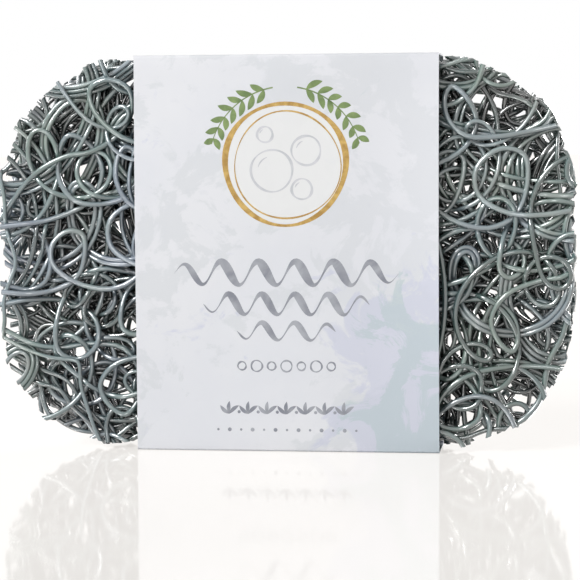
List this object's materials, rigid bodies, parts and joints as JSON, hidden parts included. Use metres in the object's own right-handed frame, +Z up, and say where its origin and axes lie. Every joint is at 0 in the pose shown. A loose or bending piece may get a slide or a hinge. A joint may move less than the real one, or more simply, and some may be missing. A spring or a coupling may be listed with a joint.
{
  "type": "soap saver",
  "caption": "Springy mat of looped vinyl strands with rounded ends, standing in a slide-off card band.",
  "frame": {"origin": "middle of the band's underside, the face that the saver stands on", "axes": "+X along the mat's length, to the right seen from the front; +Z up; +Y to the back, so the printed front of the band is at -Y"},
  "size_m": [0.12, 0.0144, 0.0819],
  "materials": {
    "vinyl_strand": "glossy soft vinyl",
    "band_card": "matt white card with a pale printed wash",
    "band_glue": "dried glue"
  },
  "bodies": {
    "mat": {"edge_strand_01": "vinyl_strand", "edge_strand_02": "vinyl_strand", "edge_strand_03": "vinyl_strand", "edge_strand_04": "vinyl_strand", "edge_strand_05": "vinyl_strand", "edge_strand_06": "vinyl_strand", "edge_strand_07": "vinyl_strand", "edge_strand_08": "vinyl_strand", "edge_strand_09": "vinyl_strand", "edge_strand_10": "vinyl_strand", "edge_strand_11": "vinyl_strand", "edge_strand_12": "vinyl_strand", "edge_strand_13": "vinyl_strand", "edge_strand_14": "vinyl_strand", "edge_strand_15": "vinyl_strand", "edge_strand_16": "vinyl_strand", "edge_strand_17": "vinyl_strand", "edge_strand_18": "vinyl_strand", "edge_strand_19": "vinyl_strand", "edge_strand_20": "vinyl_strand", "edge_strand_21": "vinyl_strand", "edge_strand_22": "vinyl_strand", "edge_strand_23": "vinyl_strand", "edge_strand_24": "vinyl_strand", "long_strand_01": "vinyl_strand", "long_strand_02": "vinyl_strand", "long_strand_03": "vinyl_strand", "long_strand_04": "vinyl_strand", "long_strand_05": "vinyl_strand", "long_strand_06": "vinyl_strand", "long_strand_07": "vinyl_strand", "long_strand_08": "vinyl_strand", "long_strand_09": "vinyl_strand", "long_strand_10": "vinyl_strand", "long_strand_11": "vinyl_strand", "long_strand_12": "vinyl_strand", "long_strand_13": "vinyl_strand", "long_strand_14": "vinyl_strand", "long_strand_15": "vinyl_strand", "long_strand_16": "vinyl_strand", "long_strand_17": "vinyl_strand", "long_strand_18": "vinyl_strand", "long_strand_19": "vinyl_strand", "long_strand_20": "vinyl_strand", "long_strand_21": "vinyl_strand", "long_strand_22": "vinyl_strand", "long_strand_23": "vinyl_strand", "long_strand_24": "vinyl_strand", "long_strand_25": "vinyl_strand", "long_strand_26": "vinyl_strand", "long_strand_27": "vinyl_strand", "long_strand_28": "vinyl_strand", "long_strand_29": "vinyl_strand"},
    "band": {"paper_band": "band_card", "glue_strip": "band_glue"}
  },
  "joints": [
    {"name": "band_slide", "type": "slide", "parent": "mat", "child": "band", "axis": [1, 0, 0], "range_m": [-0.092, 0.092]}
  ]
}
